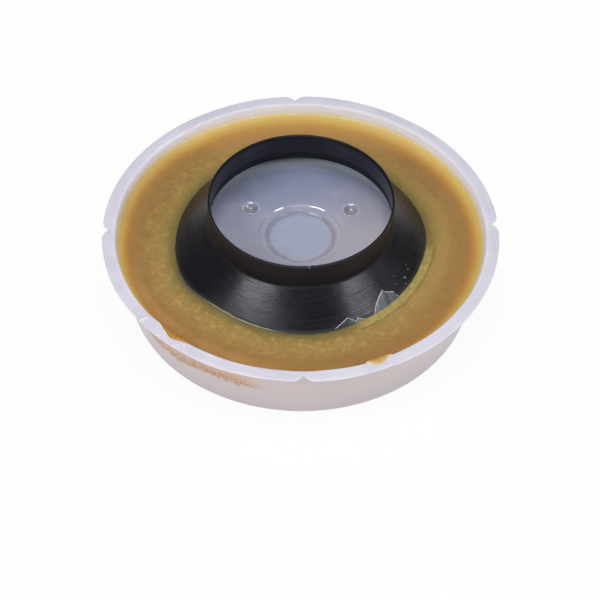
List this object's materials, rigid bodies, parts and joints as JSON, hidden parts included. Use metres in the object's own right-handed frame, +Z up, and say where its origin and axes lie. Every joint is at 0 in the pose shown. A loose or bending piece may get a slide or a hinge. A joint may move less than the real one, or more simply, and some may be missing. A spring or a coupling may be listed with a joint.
{
  "type": "wax toilet pan seal with horn",
  "caption": "Ring of sealing wax with a black plastic horn set in it, standing in the frosted moulded dish it was poured in.",
  "frame": {"origin": "middle of the dish's foot, on the axis of the seal, at the surface that it stands on", "axes": "+Z up along the axis of the seal, out of the horn's mouth; -Y towards the viewer of the picture, +X to the viewer's right"},
  "size_m": [0.1518, 0.1519, 0.048],
  "materials": {
    "frosted_sheet": "thin frosted translucent thermoformed sheet",
    "sealing_wax": "soft amber petroleum wax, lighter at its edge, slightly waxy gloss",
    "black_plastic": "black moulded polyethylene, satin on the cone with fine turned scratches"
  },
  "bodies": {
    "root": {"dish": "frosted_sheet", "wax_ring": "sealing_wax", "horn": "black_plastic"}
  },
  "joints": []
}
